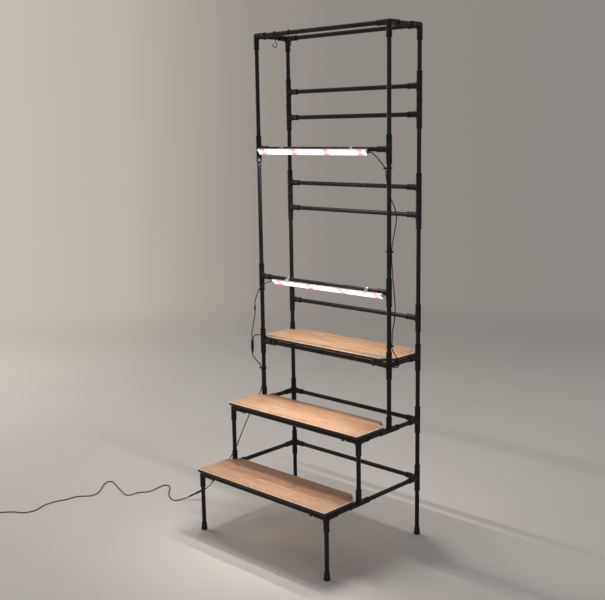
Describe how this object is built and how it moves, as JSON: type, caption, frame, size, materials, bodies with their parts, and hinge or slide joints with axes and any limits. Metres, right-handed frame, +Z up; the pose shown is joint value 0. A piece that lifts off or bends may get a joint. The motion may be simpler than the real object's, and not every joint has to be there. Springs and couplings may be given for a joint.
{
  "type": "plant stand with grow lights",
  "caption": "Stepped plant stand on a tall open tube tower, with grow light bars that tilt on the tower's front rails and S-hooks on its top rail.",
  "frame": {"origin": "on the floor under the middle of the stand without its cord", "axes": "+Z up, -Y to the front, where the low shelf is, and +X to the stand's right seen from the front"},
  "size_m": [1.5187, 1.0913, 1.8635],
  "materials": {
    "post": "satin black",
    "rail": "satin black powder coat",
    "foot": "matte",
    "board": "satin, grain along the board",
    "light_channel": "satin",
    "lamps": "glowing white and red lamps",
    "light_clip": "clear plastic",
    "hook": "bronze coloured",
    "cord": "satin",
    "plug": "matte"
  },
  "bodies": {
    "stand": {"back_post_left": "post", "back_post_right": "post", "tower_post_left": "post", "tower_post_right": "post", "middle_post_left": "post", "middle_post_right": "post", "front_leg_left": "post", "front_leg_right": "post", "top_rail_left": "rail", "shelf_rail_left": "rail", "middle_rail_left_back": "rail", "middle_rail_left_front": "rail", "low_rail_left_back": "rail", "low_rail_left_front": "rail", "top_rail_right": "rail", "shelf_rail_right": "rail", "middle_rail_right_back": "rail", "middle_rail_right_front": "rail", "low_rail_right_back": "rail", "low_rail_right_front": "rail", "top_rail_front": "rail", "top_rail_back": "rail", "light_rail_upper": "rail", "light_rail_lower": "rail", "ladder_rail_1": "rail", "ladder_rail_2": "rail", "ladder_rail_3": "rail", "ladder_rail_4": "rail", "ladder_rail_5": "rail", "shelf_rail_front": "rail", "shelf_rail_back": "rail", "middle_rail_front": "rail", "middle_rail_back": "rail", "low_rail_front": "rail", "low_rail_back": "rail", "foot_front_left": "foot", "foot_front_right": "foot", "foot_back_left": "foot", "foot_back_right": "foot", "board_low": "board", "board_middle": "board", "board_tower": "board", "light_upper_lead": "cord", "light_lower_lead": "cord", "supply_lead": "cord", "floor_cord": "cord", "splitter": "plug", "cord_connector": "plug", "cord_coil": "cord", "wall_adapter": "plug"},
    "light_upper": {"light_upper_housing": "light_channel", "light_upper_lamps": "lamps", "light_upper_clip_left": "light_clip", "light_upper_clip_right": "light_clip"},
    "light_lower": {"light_lower_housing": "light_channel", "light_lower_lamps": "lamps", "light_lower_clip_left": "light_clip", "light_lower_clip_right": "light_clip"},
    "hook_1": {"hook_1": "hook"},
    "hook_2": {"hook_2": "hook"}
  },
  "joints": [
    {"name": "light_upper_tilt", "type": "hinge", "parent": "stand", "child": "light_upper", "pos_m": [0, 0.0865, 1.435], "axis": [1, 0, 0], "range_deg": [-35, 55]},
    {"name": "light_lower_tilt", "type": "hinge", "parent": "stand", "child": "light_lower", "pos_m": [0, 0.0865, 0.943], "axis": [1, 0, 0], "range_deg": [-52, 38]},
    {"name": "hook_1_swing", "type": "hinge", "parent": "stand", "child": "hook_1", "pos_m": [-0.2195, 0.0865, 1.852], "axis": [1, 0, 0], "range_deg": [-60, 60]},
    {"name": "hook_2_swing", "type": "hinge", "parent": "stand", "child": "hook_2", "pos_m": [-0.1455, 0.0865, 1.852], "axis": [1, 0, 0], "range_deg": [-60, 60]}
  ]
}
